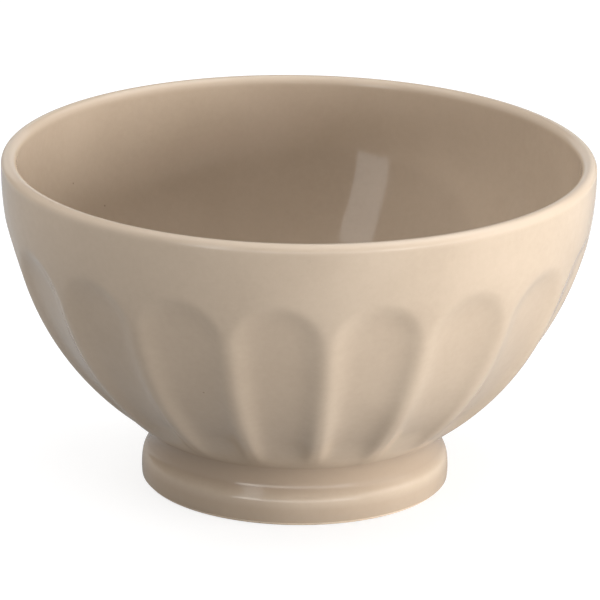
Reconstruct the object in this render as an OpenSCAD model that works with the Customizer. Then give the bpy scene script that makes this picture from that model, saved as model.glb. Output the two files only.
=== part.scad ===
// Footed latte bowl in glazed stoneware, with scooped flutes below a plain band.
// The origin is the middle of the standing face. Z is the bowl's axis and points up.

/* [Bowl] */
// Diameter across the lip, over the glaze
lip_d = 140; // [124:1:154]
// Height from the table to the crown of the lip
bowl_h = 79.3; // [71:0.1:89]
// Thickness of the wall, without the coat inside
wall_t = 3.3; // [2.6:0.1:4.2]
// Upright height between the wall's curve and the rounding of the lip
lip_upright = 0.5; // [0.2:0.1:3.2]
// Thickness of the clay floor over the foot's recess
floor_t = 5; // [4:0.1:6]
// Radius of the sweep from the floor up into the wall
floor_sweep_r = 32; // [24:1:40]

/* [Foot] */
// Diameter of the foot at its widest
foot_d = 73; // [66:0.2:80]
// Height of the line where the fluted wall meets the foot
foot_h = 14.2; // [12.8:0.1:15.6]
// How far that line lies inside the foot's widest circle
neck_in = 0.3; // [0:0.1:1.2]
// Height of the foot's widest circle
roll_z = 2.8; // [2:0.1:3.5]
// Radius of the foot's rolled side
roll_r = 11.2; // [10:0.1:13]
// Radius of the cove between the rolled side and the wall
cove_r = 10; // [7:0.5:13]
// Width of the foot's ring, from its widest circle in to the recess
ring_w = 6.8; // [5:0.1:10]
// Height of the recess under the floor
recess_h = 7.5; // [6:0.1:9]
// Rounding of the two edges of the standing face
edge_r = 0.8; // [0.4:0.1:1.2]
// Thickness of the slip that sticks the foot to the bowl
slip_t = 0.4; // [0.2:0.1:0.8]

/* [Flutes] */
// Number of flutes around the wall
flute_count = 18; // [14:1:22]
// Height of the line where the arched tops of the flutes spring
arch_z = 54; // [48:1:58]
// Radius of the scoop across a flute
scoop_r = 120; // [90:5:200]
// Width of the plain ridge between two flutes
ridge_w = 1.2; // [0.9:0.1:2]
// How far above the foot's line the flutes end, measured across
flute_stop = 0.6; // [0.4:0.1:2]
// Direction of the first flute's middle, from the X axis
flute_turn = 6.7; // [0:0.1:20]

/* [Glaze] */
// Thickness of the glaze
glaze_t = 0.3; // [0.2:0.05:0.5]
// Height of the bare clay above the table
bare_h = 0.8; // [0.4:0.1:1.5]

/* [Hidden] */
$fn = 180;
TAUPE = "#b9a792";
CLAY = "#e2d2c0";
SLIP = "#cdbba8";

// The lip is a full round, as thick as the wall with the coat inside.
lip_r = (wall_t + glaze_t) / 2;
lip_c = [lip_d / 2 - lip_r, bowl_h - lip_r];

// The wall is one arc, upright at its top, that comes down to the foot's line. Its radius is
// rounded to hundredths, so that the arc and the upright part above it meet exactly.
neck_r = foot_d / 2 - neck_in;
recess_r = foot_d / 2 - ring_w;
wall_top_z = lip_c.y - lip_upright;
wall_run = lip_d / 2 - neck_r;
wall_drop = wall_top_z - foot_h;
wall_curve_r = round(50 * (wall_run ^ 2 + wall_drop ^ 2) / wall_run) / 100;
wall_c = [lip_d / 2 - wall_curve_r, wall_top_z];

// Inside, the sweep touches both the floor and the wall's inner arc.
inner_curve_r = wall_curve_r - wall_t;
floor_z = recess_h + floor_t;
sweep_z = floor_z + floor_sweep_r;
sweep_c = [wall_c.x + sqrt((inner_curve_r - floor_sweep_r) ^ 2 - (wall_c.y - sweep_z) ^ 2), sweep_z];

// The cove touches the rolled side and ends on the foot's line.
roll_c = [foot_d / 2 - roll_r, roll_z];
neck = [neck_r, foot_h];
neck_dist = norm(neck - roll_c);
neck_dir = (neck - roll_c) / neck_dist;
cove_along = ((roll_r + cove_r) ^ 2 - cove_r ^ 2 + neck_dist ^ 2) / (2 * neck_dist);
cove_across = sqrt((roll_r + cove_r) ^ 2 - cove_along ^ 2);
cove_c = roll_c + cove_along * neck_dir + cove_across * [neck_dir.y, -neck_dir.x];
cove_dir = (cove_c - roll_c) / (roll_r + cove_r);

// Each flute is just deep enough to leave the ridge between it and the next.
function wall_r(z) = wall_c.x + sqrt(wall_curve_r ^ 2 - (wall_c.y - z) ^ 2);
function wall_sin(z) = (wall_c.y - z) / wall_curve_r;
function flute_half_w(z) = wall_r(z) * sin(180 / flute_count) - ridge_w / 2;
function flute_depth(z) = flute_half_w(z) ^ 2 / 2
    * (1 / scoop_r + sqrt(1 - wall_sin(z) ^ 2) / wall_r(z));
arch_depth = flute_depth(arch_z);
foot_depth = flute_depth(foot_h);
scoop_sink = (arch_depth - foot_depth) / (wall_sin(foot_h) - wall_sin(arch_z));
scoop_floor_r = wall_curve_r - arch_depth - scoop_sink * wall_sin(arch_z);
scoop_c = [wall_c.x, wall_c.y - scoop_sink];
arch_tilt = asin((scoop_c.y - arch_z) / scoop_floor_r);
foot_tilt = acos((neck_r + flute_stop - scoop_c.x) / scoop_floor_r);
spine_r = scoop_floor_r + scoop_r;

// The cutter is wider and higher than the flute, so that it passes clear of the wall.
spare_w = 1.3;
spare_h = 3;
cutter_half_w = spare_w * flute_half_w(arch_z);
cutter_h = spare_h * arch_depth;

// The arch's scoop is a touch deeper and laps the sweep, so the two cross cleanly.
arch_reach = sqrt(2 * arch_depth / (1 / scoop_r + 1 / wall_curve_r));
arch_turn = 2 * asin(arch_reach / scoop_r);
arch_lap = 2;
arch_sink = 0.05;

// The bowl filled to its axis.
module bowl_outline() {
    intersection() {
        translate(wall_c) circle(wall_curve_r);
        translate([0, recess_h]) square([lip_d, wall_top_z - recess_h]);
    }
    translate([0, wall_top_z]) square([lip_d / 2, lip_upright]);
    translate([0, lip_c.y]) square([lip_c.x, lip_r - glaze_t]);
    intersection() {
        translate(lip_c) circle(lip_r);
        translate(lip_c) square(lip_r);
    }
}

// The space inside the bowl, smaller by the thickness of a coat.
module inside_outline(coat) {
    sweep_dir = (sweep_c - wall_c) / norm(sweep_c - wall_c);
    wall_end = wall_c + (inner_curve_r + wall_t) * sweep_dir;
    translate([0, floor_z + coat]) square([sweep_c.x, floor_sweep_r - coat]);
    intersection() {
        translate(sweep_c) circle(floor_sweep_r - coat);
        square([lip_d, bowl_h]);
    }
    intersection() {
        translate(wall_c) circle(inner_curve_r - coat);
        polygon([[0, sweep_z], sweep_c, wall_end, [lip_d, wall_end.y], [lip_d, wall_top_z], [0, wall_top_z]]);
    }
    translate([0, wall_top_z]) square([lip_d / 2 - wall_t - coat, lip_upright]);
    difference() {
        translate([0, lip_c.y]) square([lip_c.x, 2 * lip_r]);
        translate(lip_c) circle(lip_r - glaze_t + coat);
    }
}

// The foot filled to its axis, rolled side and cove, set back by the thickness of a coat.
module foot_outline(coat) {
    roll_top = roll_c + (roll_r - coat) * cove_dir;
    block_w = neck_r + (cove_c.x - neck_r) / 4;
    difference() {
        union() {
            square([roll_c.x, roll_top.y]);
            intersection() {
                translate(roll_c) circle(roll_r - coat);
                translate([roll_c.x, 0]) square([roll_r, roll_top.y]);
            }
            difference() {
                translate([0, roll_top.y]) square([block_w, foot_h]);
                translate(cove_c) circle(cove_r + coat);
            }
        }
        translate(wall_c) circle(wall_curve_r);
    }
}

// The space under the bowl inside the foot, smaller by the thickness of a coat.
module recess_outline(coat) {
    difference() {
        square([recess_r - coat, foot_h]);
        intersection() {
            translate(wall_c) circle(wall_curve_r + coat);
            translate([0, recess_h - coat]) square([recess_r, foot_h]);
        }
    }
}

// The sharp edges of the standing face that the rounding takes away.
module standing_edges() {
    outer_reach = roll_r - glaze_t - edge_r;
    outer_c = [roll_c.x + sqrt(outer_reach ^ 2 - (roll_z - edge_r) ^ 2), edge_r];
    outer_dir = (outer_c - roll_c) / outer_reach;
    inner_c = [recess_r + edge_r, edge_r];
    difference() {
        polygon([
            outer_c,
            outer_c - [0, 2 * edge_r],
            outer_c + [2 * edge_r, -2 * edge_r],
            outer_c + 2 * edge_r * outer_dir
        ]);
        translate(outer_c) circle(edge_r);
    }
    difference() {
        translate([recess_r, 0]) square(edge_r);
        translate(inner_c) circle(edge_r);
    }
}

// The section of a scoop, with its middle at the origin and its floor towards the bowl.
module scoop_section(radius) {
    intersection() {
        circle(radius);
        translate([-scoop_r - cutter_h, -cutter_half_w]) square([2 * cutter_h, 2 * cutter_half_w]);
    }
}

// The long part of a flute: the section swept down the wall to the foot.
module flute_sweep() {
    translate([scoop_c.x, 0, scoop_c.y]) rotate([90, 0, 0]) rotate([0, 0, -foot_tilt])
        rotate_extrude(angle = foot_tilt - arch_tilt) translate([spine_r, 0]) scoop_section(scoop_r);
}

// The arched top of a flute: the section turned up out of the wall, about its own middle.
module flute_arch() {
    translate([scoop_c.x, 0, scoop_c.y]) rotate([0, arch_tilt, 0]) translate([spine_r, 0, 0])
        rotate([90, 0, 0]) rotate([0, 0, 180 - arch_turn])
            rotate_extrude(angle = arch_turn + arch_lap) mirror([1, 0]) scoop_section(scoop_r + arch_sink);
}

// Neighbouring cutters overlap, so the flutes are cut in three turns around the bowl.
module every_third(first) {
    for (i = [first : 3 : flute_count - 1])
        rotate([0, 0, flute_turn + i * 360 / flute_count]) children();
}

// The bowl: an even wall with a full round lip, a flat floor and scooped flutes outside.
module bowl_body() {
    color(TAUPE) difference() {
        difference() {
            rotate_extrude() difference() {
                bowl_outline();
                inside_outline(0);
            }
            every_third(0) flute_arch();
            every_third(1) flute_arch();
            every_third(2) flute_arch();
        }
        every_third(0) flute_sweep();
        every_third(1) flute_sweep();
        every_third(2) flute_sweep();
    }
}

// The clay foot, seated under the wall with room for the slip.
module foot_ring() {
    color(CLAY) rotate_extrude() difference() {
        foot_outline(glaze_t);
        translate(wall_c) circle(wall_curve_r + slip_t);
        square([recess_r, foot_h]);
        standing_edges();
    }
}

// The slip that sticks the foot under the bowl.
module slip_seam() {
    color(SLIP) rotate_extrude() intersection() {
        foot_outline(glaze_t);
        translate(wall_c) circle(wall_curve_r + slip_t);
        translate([recess_r, 0]) square([lip_d, 2 * foot_h]);
    }
}

// The coat over the outside of the foot, from the wall down to the bare edge.
module foot_glaze() {
    color(TAUPE) rotate_extrude() difference() {
        foot_outline(0);
        foot_outline(glaze_t);
        square([foot_d, bare_h]);
    }
}

// The coat inside, from the crown of the lip over the wall and the floor.
module inside_glaze() {
    color(TAUPE) rotate_extrude() difference() {
        inside_outline(0);
        inside_outline(glaze_t);
    }
}

// The coat in the recess under the bowl, down to the bare edge.
module base_glaze() {
    color(TAUPE) rotate_extrude() difference() {
        recess_outline(0);
        recess_outline(glaze_t);
        square([recess_r, bare_h]);
    }
}

bowl_body();
foot_ring();
slip_seam();
foot_glaze();
inside_glaze();
base_glaze();
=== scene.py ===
from math import acos, asin, atan2, cos, degrees, hypot, pi, radians, sin, sqrt

import bmesh
import bpy
from mathutils import Matrix, Vector


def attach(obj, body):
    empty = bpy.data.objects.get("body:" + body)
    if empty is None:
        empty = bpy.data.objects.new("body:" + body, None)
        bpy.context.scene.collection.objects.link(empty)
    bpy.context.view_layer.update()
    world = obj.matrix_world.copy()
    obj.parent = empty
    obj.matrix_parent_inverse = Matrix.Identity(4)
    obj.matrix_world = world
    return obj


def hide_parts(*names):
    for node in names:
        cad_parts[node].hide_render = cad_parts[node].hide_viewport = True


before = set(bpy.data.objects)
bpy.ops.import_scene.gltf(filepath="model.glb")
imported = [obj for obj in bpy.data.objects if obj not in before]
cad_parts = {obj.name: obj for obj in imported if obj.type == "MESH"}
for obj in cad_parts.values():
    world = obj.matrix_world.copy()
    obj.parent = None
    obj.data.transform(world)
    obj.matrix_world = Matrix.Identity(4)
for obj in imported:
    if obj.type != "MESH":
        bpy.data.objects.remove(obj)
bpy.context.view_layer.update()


# The bowl: one piece of pressed stoneware with an even wall, a full round lip and a flat floor.
# Flutes with arched tops are scooped into the leather-hard wall, and softened by sponging.
# The glossy taupe glaze over the outside is this piece's skin.

def tilt(rise, radius):
    """How far round a circle a point lies, in degrees, from its height over the centre or under it."""
    return degrees(asin(rise / radius))


# Sizes are in millimetres. A centre is given by its distance from the bowl's axis and its height.
mm = 0.001
lip_r = 1.8
lip_x, lip_z = 68.2, 77.5
wall_r = 75.24
wall_x, wall_z = -5.24, 77.0
clay_t, glaze_t = 3.3, 0.3
neck_x, neck_z = 36.2, 14.2
recess_z = 7.5
floor_z = 12.5
sweep_r = 32.0
sweep_z = floor_z + sweep_r
sweep_x = wall_x + sqrt((wall_r - clay_t - sweep_r) ** 2 - (wall_z - sweep_z) ** 2)
sweep_tilt = tilt(wall_z - sweep_z, wall_r - clay_t - sweep_r)
neck_tilt = tilt(wall_z - neck_z, wall_r)
recess_tilt = tilt(wall_z - recess_z, wall_r)

# The scoops run from the arch down to the neck, where they fade out, and leave a ridge between neighbours.
# The first one's direction is in degrees.
flutes = 18
first_flute = 6.7
pitch = 2 * pi / flutes
arch_z = 54.0
scoop_d = 1.7
scoop_roundness = 0.5
ridge_w = 3.0
ridge_ease = 0.8
fade_h = 8.5
on_wall = 0.002


def draw_profile(shape, start, moves):
    """Draws a piece's half section from a start point, in mm, by straight moves and by arcs.
    A straight move is (radius, height), an arc (centre radius, centre height, degrees, steps)."""
    tip = first = shape.verts.new((start[0] * mm, 0, start[1] * mm))
    for move in moves:
        if len(move) == 2:
            tip = bmesh.ops.extrude_vert_indiv(shape, verts=[tip])["verts"][0]
            tip.co = (move[0] * mm, 0, move[1] * mm)
        else:
            swung = bmesh.ops.spin(shape, geom=[tip], cent=(move[0] * mm, 0, move[1] * mm),
                                   axis=(0, -1, 0), angle=radians(move[2]), steps=move[3])
            tip = next(v for v in swung["geom_last"] if isinstance(v, bmesh.types.BMVert))
    return first, tip


def turn_on_wheel(shape, columns):
    """Turns the half section through one flute's share of the round, and repeats that share."""
    about = {"cent": (0, 0, 0), "axis": (0, 0, 1)}
    bmesh.ops.spin(shape, geom=shape.verts[:] + shape.edges[:], angle=pitch, steps=columns, **about)
    bmesh.ops.spin(shape, geom=shape.verts[:] + shape.edges[:] + shape.faces[:], angle=2 * pi - pitch,
                   steps=flutes - 1, use_duplicate=True, **about)
    bmesh.ops.remove_doubles(shape, verts=shape.verts[:], dist=0.0005 * mm)
    bmesh.ops.recalc_face_normals(shape, faces=shape.faces[:])


def wall_radius(z):
    return wall_x + sqrt(wall_r ** 2 - (wall_z - z) ** 2)


def scooped(turn, z):
    """How far the scoops take the wall in at a direction and height, in mm, with the ridges rounded."""
    off = (turn - radians(first_flute) + pitch / 2) % pitch - pitch / 2
    across = wall_radius(z) * sin(off)
    rise = wall_r * max(asin((wall_z - arch_z) / wall_r) - asin((wall_z - z) / wall_r), 0)
    half_w = wall_radius(min(z, arch_z)) * sin(pitch / 2) - ridge_w / 2
    away = (across ** 2 + rise ** 2) / half_w ** 2
    depth = scoop_d * (1 - scoop_roundness * away - (1 - scoop_roundness) * away ** 2)
    if abs(depth) < ridge_ease:
        depth = (depth + ridge_ease) ** 2 / (4 * ridge_ease)
    fade = min((z - neck_z) / fade_h, 1)
    return max(depth, 0) * fade ** 2 * (3 - 2 * fade)


def scoop_flutes(shape):
    """Takes the flutes out of the wall, and keeps their depth for the glaze."""
    depth_and_shade = shape.verts.layers.float.new("depth_and_shade")
    for v in shape.verts:
        x, z = hypot(v.co.x, v.co.y) / mm, v.co.z / mm
        if not neck_z < z < wall_z or abs(hypot(x - wall_x, z - wall_z) - wall_r) > on_wall:
            continue
        v[depth_and_shade] = scooped(atan2(v.co.y, v.co.x), z)
        inward = Vector((wall_x * v.co.x / x, wall_x * v.co.y / x, wall_z * mm)) - v.co
        v.co += inward.normalized() * v[depth_and_shade] * mm
    bmesh.ops.recalc_face_normals(shape, faces=shape.faces[:])


def finish_piece(shape, name, material, sharp=40):
    """Makes the mesh an object of the scene with smooth faces and the given finish."""
    mesh = bpy.data.meshes.new(name)
    shape.to_mesh(mesh)
    shape.free()
    mesh.shade_smooth()
    mesh.set_sharp_from_angle(angle=radians(sharp))
    mesh.materials.append(material)
    piece = bpy.data.objects.new(name, mesh)
    bpy.context.scene.collection.objects.link(piece)
    return piece


def linear(code):
    """A hex colour as written, turned to the linear values that a shader takes."""
    channels = [int(code[i:i + 2], 16) / 255 for i in (1, 3, 5)]
    return [c / 12.92 if c <= 0.04045 else ((c + 0.055) / 1.055) ** 2.4 for c in channels] + [1]


def add_node(tree, kind, inputs, **settings):
    """Adds a node, sets its options, and gives each input its value or its link."""
    node = tree.nodes.new(kind)
    for key, value in settings.items():
        setattr(node, key, value)
    for key, value in inputs.items():
        if isinstance(value, bpy.types.NodeSocket):
            tree.links.new(value, node.inputs[key])
        else:
            node.inputs[key].default_value = value
    return node


# The Mix node has several sockets of one name, so its two colours and its result go by number.
colour_a, colour_b, mixed = 6, 7, 2

# Glaze sizes: clouds, grain, long waves and specks, and the heights between which the lip gets its painted
# highlight.
cloud_w, grain_w, wave_w, speck_gap = 22, 1.6, 14, 13
grain_h, wave_h = 0.002, 0.10
lip_highlight_from, lip_highlight_to = 76.6, 78.8
# The attribute value at which the colour is darkest: in the deepest flutes, and in the foot's painted shade.
full_depth_and_shade = 1.5


# Glossy feldspar glaze, dipped and fired: smooth glass over clay, with faint clouds of colour,
# darker the deeper the flutes are scooped and where painted shade is laid on the foot, paler on the lip as a
# painted highlight, with a few fine specks.
def taupe_glaze(name, depth_and_shade_darkening, dullest):
    glaze = bpy.data.materials.new(name)
    glaze.use_nodes = True
    tree = glaze.node_tree
    tree.nodes.clear()
    place = add_node(tree, "ShaderNodeTexCoord", {}).outputs["Object"]
    cloud = add_node(tree, "ShaderNodeTexNoise", {"Vector": place, "Scale": 1 / (cloud_w * mm), "Detail": 3.0,
                                                  "Roughness": 0.5}).outputs["Fac"]
    grain = add_node(tree, "ShaderNodeTexNoise", {"Vector": place, "Scale": 1 / (grain_w * mm), "Detail": 2.0,
                                                  "Roughness": 0.6}).outputs["Fac"]
    tone = add_node(tree, "ShaderNodeMath", {0: grain, 1: 0.35, 2: cloud},
                    operation="MULTIPLY_ADD").outputs[0]
    shade = add_node(tree, "ShaderNodeMapRange", {"Value": tone, "From Min": 0.45,
                                                  "From Max": 0.9}).outputs[0]
    body = add_node(tree, "ShaderNodeMix", {"Factor": shade, colour_a: linear("#b9a793"),
                                            colour_b: linear("#c2b09c")}, data_type="RGBA").outputs[mixed]
    # Darker from the mesh attribute: the deeper the flutes are scooped, and painted shade on the foot.
    if depth_and_shade_darkening:
        depth = add_node(tree, "ShaderNodeAttribute", {}, attribute_name="depth_and_shade").outputs["Fac"]
        darkened = add_node(tree, "ShaderNodeMapRange", {"Value": depth, "From Min": 0.1, "From Max": full_depth_and_shade,
                                                       "To Max": depth_and_shade_darkening}).outputs[0]
        body = add_node(tree, "ShaderNodeMix", {"Factor": darkened, colour_a: body,
                                                colour_b: linear("#9c8874")}, data_type="RGBA").outputs[mixed]
    # Painted highlight: the glaze colour is made paler towards the crown of the lip.
    height = add_node(tree, "ShaderNodeSeparateXYZ", {"Vector": place}).outputs["Z"]
    lip_highlight = add_node(tree, "ShaderNodeMapRange", {"Value": height, "From Min": lip_highlight_from * mm,
                                                 "From Max": lip_highlight_to * mm},
                    interpolation_type="SMOOTHSTEP").outputs[0]
    body = add_node(tree, "ShaderNodeMix", {"Factor": lip_highlight, colour_a: body,
                                            colour_b: linear("#cab8a4")}, data_type="RGBA").outputs[mixed]
    cells = add_node(tree, "ShaderNodeTexVoronoi", {"Vector": place, "Scale": 1 / (speck_gap * mm)})
    speck = add_node(tree, "ShaderNodeMapRange", {"Value": cells.outputs["Distance"], "From Min": 0.010,
                                                  "From Max": 0.022, "To Min": 0.6, "To Max": 0.0}).outputs[0]
    colour = add_node(tree, "ShaderNodeMix", {"Factor": speck, colour_a: body,
                                              colour_b: linear("#6e5e4c")}, data_type="RGBA").outputs[mixed]
    gloss = add_node(tree, "ShaderNodeMapRange", {"Value": cloud, "From Min": 0.3, "From Max": 0.7,
                                                  "To Min": 0.6 * dullest, "To Max": dullest}).outputs[0]
    wave = add_node(tree, "ShaderNodeTexNoise", {"Vector": place, "Scale": 1 / (wave_w * mm),
                                                 "Detail": 1.0}).outputs["Fac"]
    peel = add_node(tree, "ShaderNodeBump", {"Height": grain, "Strength": 1.0,
                                             "Distance": grain_h * mm}).outputs[0]
    relief = add_node(tree, "ShaderNodeBump", {"Height": wave, "Strength": 1.0, "Distance": wave_h * mm,
                                               "Normal": peel}).outputs[0]
    skin = add_node(tree, "ShaderNodeBsdfPrincipled", {"Base Color": colour, "Roughness": gloss, "IOR": 1.47,
                                                       "Normal": relief}).outputs[0]
    add_node(tree, "ShaderNodeOutputMaterial", {"Surface": skin})
    return glaze


bowl = bmesh.new()
draw_profile(bowl, (0, recess_z), [
    (wall_radius(recess_z), recess_z),
    (wall_x, wall_z, recess_tilt - neck_tilt, 6),
    (wall_x, wall_z, neck_tilt, 92),
    (lip_x + lip_r, lip_z),
    (lip_x, lip_z, 90, 12),
    (lip_x, lip_z + lip_r - glaze_t),
    (lip_x, lip_z, 90, 6),
    (lip_x - lip_r + glaze_t, wall_z),
    (wall_x, wall_z, -sweep_tilt, 14),
    (sweep_x, sweep_z, sweep_tilt - 90, 10),
    (0, floor_z),
])
turn_on_wheel(bowl, 28)
scoop_flutes(bowl)
bowl = finish_piece(bowl, "fluted_bowl", taupe_glaze("glossy_taupe_glaze", depth_and_shade_darkening=0.15, dullest=0.2))
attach(bowl, "root")
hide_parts("bowl_body")


# The coat inside the bowl: the same glaze, poured in and swirled out, a third of a millimetre thick.
# It runs from the crown of the lip over the inner wall and the floor.

coat = bmesh.new()
draw_profile(coat, (0, floor_z + glaze_t), [
    (sweep_x, floor_z + glaze_t),
    (sweep_x, sweep_z, 90 - sweep_tilt, 24),
    (wall_x, wall_z, sweep_tilt, 60),
    (lip_x - lip_r, lip_z),
    (lip_x, lip_z, -90, 12),
    (lip_x, lip_z + lip_r - glaze_t),
    (lip_x, lip_z, 90, 6),
    (lip_x - lip_r + glaze_t, wall_z),
    (wall_x, wall_z, -sweep_tilt, 14),
    (sweep_x, sweep_z, sweep_tilt - 90, 10),
    (0, floor_z),
])
turn_on_wheel(coat, 20)
coat = finish_piece(coat, "inner_coat", taupe_glaze("glossy_taupe_glaze_inside", depth_and_shade_darkening=0, dullest=0.1))
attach(coat, "root")
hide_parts("inside_glaze")


# The foot: a ring of the same clay, turned with a steep side, a rounded shoulder and a cove above it.
# It is open underneath and stuck on with slip, and its standing face is wiped bare before firing.

# The side's arc goes over into the shoulder's at side_top, in degrees above the level of its centre.
side_x, side_z, side_r = 18.5, 3.0, 18.0
side_top = 9.0
shoulder_r = 5.0
shoulder_x = side_x + (side_r - shoulder_r) * cos(radians(side_top))
shoulder_z = side_z + (side_r - shoulder_r) * sin(radians(side_top))
cove_r = 6.0
recess_x = 29.7
edge_r = 0.8
slip_t = 0.4

# The cove's circle touches the shoulder's, and passes through the neck.
to_neck = Vector((neck_x - shoulder_x, neck_z - shoulder_z))
along = ((shoulder_r + cove_r) ** 2 - cove_r ** 2 + to_neck.length_squared) / (2 * to_neck.length)
aside = sqrt((shoulder_r + cove_r) ** 2 - along ** 2)
to_neck.normalize()
cove_x = shoulder_x + along * to_neck.x + aside * to_neck.y
cove_z = shoulder_z + along * to_neck.y - aside * to_neck.x
join_tilt = tilt(cove_z - shoulder_z, shoulder_r + cove_r)


def meets_wall(radius, gap):
    """Where the cove, drawn at a radius, runs into the wall set out by a gap: the point, and its
    degrees round the wall and round the cove."""
    reach, span = wall_r + gap, hypot(cove_x - wall_x, cove_z - wall_z)
    level = degrees(acos((cove_x - wall_x) / span))
    at_wall = level + degrees(acos((reach ** 2 + span ** 2 - radius ** 2) / (2 * reach * span)))
    x = wall_x + reach * cos(radians(at_wall))
    z = wall_z - reach * sin(radians(at_wall))
    return (x, z), at_wall, degrees(acos((cove_x - x) / radius))


# Bare fired stoneware: matte and pale, with a fine sandy grain and a few darker grains of grog.
sand_w, warm_w, grog_gap = 0.7, 12, 2.2
sand_h = 0.06
bisque = bpy.data.materials.new("bare_fired_clay")
bisque.use_nodes = True
tree = bisque.node_tree
tree.nodes.clear()
place = add_node(tree, "ShaderNodeTexCoord", {}).outputs["Object"]
sand = add_node(tree, "ShaderNodeTexNoise", {"Vector": place, "Scale": 1 / (sand_w * mm), "Detail": 4.0,
                                             "Roughness": 0.7}).outputs["Fac"]
warm = add_node(tree, "ShaderNodeTexNoise", {"Vector": place, "Scale": 1 / (warm_w * mm),
                                             "Detail": 2.0}).outputs["Fac"]
pale = add_node(tree, "ShaderNodeMix", {"Factor": warm, colour_a: linear("#ecdcc8"),
                                        colour_b: linear("#dcc3a8")}, data_type="RGBA").outputs[mixed]
grog = add_node(tree, "ShaderNodeTexVoronoi", {"Vector": place,
                                               "Scale": 1 / (grog_gap * mm)}).outputs["Distance"]
dark = add_node(tree, "ShaderNodeMapRange", {"Value": grog, "From Min": 0.06, "From Max": 0.16,
                                             "To Min": 0.45, "To Max": 0.0}).outputs[0]
clay = add_node(tree, "ShaderNodeMix", {"Factor": dark, colour_a: pale,
                                        colour_b: linear("#a98b6c")}, data_type="RGBA").outputs[mixed]
grit = add_node(tree, "ShaderNodeBump", {"Height": sand, "Strength": 1.0, "Distance": sand_h * mm}).outputs[0]
matte = add_node(tree, "ShaderNodeBsdfPrincipled", {"Base Color": clay, "Roughness": 0.85, "IOR": 1.5,
                                                    "Normal": grit}).outputs[0]
add_node(tree, "ShaderNodeOutputMaterial", {"Surface": matte})

foot = bmesh.new()
_, wall_tilt, cove_tilt = meets_wall(cove_r + glaze_t, slip_t)
under_tilt = degrees(acos((recess_x - wall_x) / (wall_r + slip_t)))
edge_reach = side_r - glaze_t - edge_r
edge_x = side_x + sqrt(edge_reach ** 2 - (side_z - edge_r) ** 2)
edge_tilt = tilt(side_z - edge_r, edge_reach)
draw_profile(foot, (recess_x + edge_r, 0), [
    (edge_x, 0),
    (edge_x, edge_r, 90 - edge_tilt, 6),
    (side_x, side_z, edge_tilt + side_top, 8),
    (shoulder_x, shoulder_z, join_tilt - side_top, 8),
    (cove_x, cove_z, -(join_tilt + cove_tilt), 14),
    (wall_x, wall_z, wall_tilt - under_tilt, 10),
    (recess_x, edge_r),
    (recess_x + edge_r, edge_r, 90, 6),
])
bmesh.ops.remove_doubles(foot, verts=foot.verts[:], dist=0.01 * mm)
turn_on_wheel(foot, 14)
foot = finish_piece(foot, "foot", bisque)
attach(foot, "root")
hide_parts("foot_ring")


# The slip: a thin layer of liquid clay between the bowl and its foot, squeezed flat and fired.
# None of it shows once the glaze is on, so the solid keeps its own mesh.

slip = bisque.copy()
slip.name = "fired_slip"
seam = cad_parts["slip_seam"]
seam.data.materials.clear()
seam.data.materials.append(slip)


# The coat over the foot: the same glaze, with painted shade in the cove and, weaker, low on the side, and a
# lighter line left on the shoulder as a painted highlight.
# It stops just above the table, at the line where the foot was wiped.

bare_z = 0.8
# The shoulder line at this height is left unshaded as a painted highlight; painted shade grows away from it
# over 2.5 mm, full above it in the cove and weaker low on the side.
highlight_line_z = 6.4
shade_rise = 2.5
low_side_shade = 0.9
foot_coat = bmesh.new()
_, _, out_cove = meets_wall(cove_r, 0)
inner_top, _, in_cove = meets_wall(cove_r + glaze_t, 0)
low_out = tilt(side_z - bare_z, side_r)
low_in = tilt(side_z - bare_z, side_r - glaze_t)
first, last = draw_profile(foot_coat, (side_x + side_r * cos(radians(low_out)), bare_z), [
    (side_x, side_z, low_out + side_top, 14),
    (shoulder_x, shoulder_z, join_tilt - side_top, 14),
    (cove_x, cove_z, -(join_tilt + out_cove), 24),
    inner_top,
    (cove_x, cove_z, join_tilt + in_cove, 12),
    (shoulder_x, shoulder_z, side_top - join_tilt, 8),
    (side_x, side_z, -(low_in + side_top), 8),
])
bmesh.ops.contextual_create(foot_coat, geom=[first, last])
turn_on_wheel(foot_coat, 20)
# Painted shade for the foot's glaze colour: none on the shoulder line, the most in the cove.
depth_and_shade = foot_coat.verts.layers.float.new("depth_and_shade")
for v in foot_coat.verts:
    off_highlight_line = v.co.z / mm - highlight_line_z
    darkest_shade = full_depth_and_shade if off_highlight_line > 0 else low_side_shade
    v[depth_and_shade] = darkest_shade * min(abs(off_highlight_line) / shade_rise, 1)
# The foot's glaze takes the painted shade and the painted highlight line set out above.
foot_finish = taupe_glaze("glossy_taupe_glaze_foot", depth_and_shade_darkening=0.7, dullest=0.2)
foot_coat = finish_piece(foot_coat, "foot_coat", foot_finish)
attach(foot_coat, "root")
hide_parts("foot_glaze")


# The coat under the bowl: glaze that stays in the recess when the bowl is dipped.
# It covers the underside of the floor and the inner side of the foot, down to the bare edge.

base_coat = bmesh.new()
coat_out = degrees(acos((recess_x - wall_x) / wall_r))
coat_in = degrees(acos((recess_x - glaze_t - wall_x) / (wall_r + glaze_t)))
coat_base = tilt(wall_z - recess_z + glaze_t, wall_r + glaze_t)
draw_profile(base_coat, (0, recess_z - glaze_t), [
    (wall_x + (wall_r + glaze_t) * cos(radians(coat_base)), recess_z - glaze_t),
    (wall_x, wall_z, coat_base - coat_in, 8),
    (recess_x - glaze_t, bare_z),
    (recess_x, bare_z),
    (recess_x, wall_z - wall_r * sin(radians(coat_out))),
    (wall_x, wall_z, coat_out - recess_tilt, 8),
    (0, recess_z),
])
turn_on_wheel(base_coat, 14)
base_finish = taupe_glaze("glossy_taupe_glaze_under", depth_and_shade_darkening=0, dullest=0.2)
base_coat = finish_piece(base_coat, "base_coat", base_finish)
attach(base_coat, "root")
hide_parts("base_glaze")


# The table: one wide flat sheet of pale card that the bowl stands on, a hair below its standing face.
# The card is lifted to white for the eye, less so in the glaze's mirrored light, and keeps the bowl's shadow.

table_reach = 10.0
table_drop = 0.05
white_lift = 0.74
mirrored_share = 0.15

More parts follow.
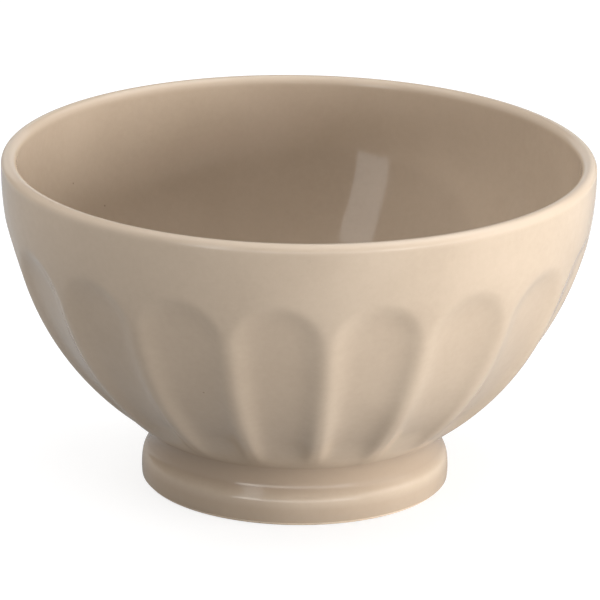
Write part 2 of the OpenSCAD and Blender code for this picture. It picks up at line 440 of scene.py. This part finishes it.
# Matte white card: even and without grain, so that only the bowl's shadow shows on it.
card = bpy.data.materials.new("white_card")
card.use_nodes = True
tree = card.node_tree
tree.nodes.clear()
ray = add_node(tree, "ShaderNodeLightPath", {}).outputs
in_glaze = add_node(tree, "ShaderNodeMath", {0: ray["Is Glossy Ray"], 1: mirrored_share},
                    operation="MULTIPLY").outputs[0]
seen = add_node(tree, "ShaderNodeMath", {0: ray["Is Camera Ray"], 1: in_glaze}, operation="ADD").outputs[0]
seen = add_node(tree, "ShaderNodeMath", {0: ray["Is Transmission Ray"], 1: seen},
                operation="MAXIMUM").outputs[0]
lift = add_node(tree, "ShaderNodeMath", {0: seen, 1: white_lift}, operation="MULTIPLY").outputs[0]
white = add_node(tree, "ShaderNodeBsdfDiffuse", {"Color": linear("#a6a6a6")}).outputs[0]
glow = add_node(tree, "ShaderNodeEmission", {"Color": (1, 1, 1, 1), "Strength": lift}).outputs[0]
both = add_node(tree, "ShaderNodeAddShader", {0: white, 1: glow}).outputs[0]
add_node(tree, "ShaderNodeOutputMaterial", {"Surface": both})

table = bmesh.new()
bmesh.ops.create_grid(table, x_segments=8, y_segments=8, size=table_reach)
bmesh.ops.translate(table, verts=table.verts[:], vec=(0, 0, -table_drop * mm))
table = finish_piece(table, "table", card)


# The light: a dim studio with soft panels, strongest low on the right and high on the left.
# Those two and the low fill aren't mirrored in the glaze, so that it keeps its colour. The strip draws
# the bright streak inside the bowl, and the card in front only the lines along the foot.

world = bpy.data.worlds.new("dim_studio")
bpy.context.scene.world = world
world.use_nodes = True
tree = world.node_tree
tree.nodes.clear()
dim = add_node(tree, "ShaderNodeBackground", {"Color": (1, 1, 1, 1), "Strength": 0.06}).outputs[0]
add_node(tree, "ShaderNodeOutputWorld", {"Surface": dim})


def add_lamp(name, place, aim, width, tall, power, lights=True, mirrored=True):
    """A soft lamp at a place, in metres, that faces a point: it can only light, or only be mirrored."""
    lamp = bpy.data.lights.new(name, "AREA")
    lamp.shape = "RECTANGLE"
    lamp.size, lamp.size_y = width, tall
    lamp.energy = power
    stand = bpy.data.objects.new(name, lamp)
    stand.location = place
    stand.rotation_euler = (Vector(aim) - stand.location).to_track_quat("-Z", "Y").to_euler()
    stand.visible_diffuse, stand.visible_glossy = lights, mirrored
    bpy.context.scene.collection.objects.link(stand)


add_lamp("right_low", place=(0.80, -0.42, 0.13), aim=(0, -0.1, 0.13), width=1.2, tall=0.26, power=14.4,
         mirrored=False)
add_lamp("left_high", place=(-0.9, 0.1, 0.9), aim=(0, 0, 0.05), width=1.5, tall=1.2, power=9.8,
         mirrored=False)
add_lamp("left_fill", place=(-0.8, -0.25, 0.1), aim=(0, -0.1, 0.1), width=1.2, tall=0.18, power=0.9,
         mirrored=False)
add_lamp("overhead", place=(0.1, 0.1, 1.1), aim=(0, 0, 0), width=1.4, tall=1.4, power=6.2)
add_lamp("right_high", place=(0.55, 0.25, 0.9), aim=(0, 0, 0.05), width=1.1, tall=0.9, power=3.2)
add_lamp("back", place=(0, 0.95, 0.3), aim=(0, 0, 0.05), width=1.4, tall=0.4, power=1.0)
add_lamp("strip", place=(-0.55, -0.88, 0.42), aim=(0, 0, 0.07), width=0.28, tall=1.0, power=1.7)
add_lamp("front_card", place=(0, -0.92, 0.08), aim=(0, 0, 0.08), width=1.8, tall=0.16, power=3, lights=False)


# The camera: a long lens, about 18 degrees above level, that looks over the near lip into the bowl.
# It is held a hair out of true.

camera_place = Vector((11.1, -1329.5, 482.2)) * mm
camera_aim = Vector((0.68, 0, 43.64)) * mm
camera_roll = 0.864
camera = bpy.data.cameras.new("camera")
camera.sensor_width = 36
camera.lens = 354.9
viewer = bpy.data.objects.new("camera", camera)
viewer.location = camera_place
look = (camera_aim - camera_place).to_track_quat("-Z", "Y").to_matrix()
viewer.rotation_euler = (look @ Matrix.Rotation(radians(camera_roll), 3, "Z")).to_euler()
bpy.context.scene.collection.objects.link(viewer)
bpy.context.scene.camera = viewer
bpy.context.scene.view_settings.view_transform = "Standard"
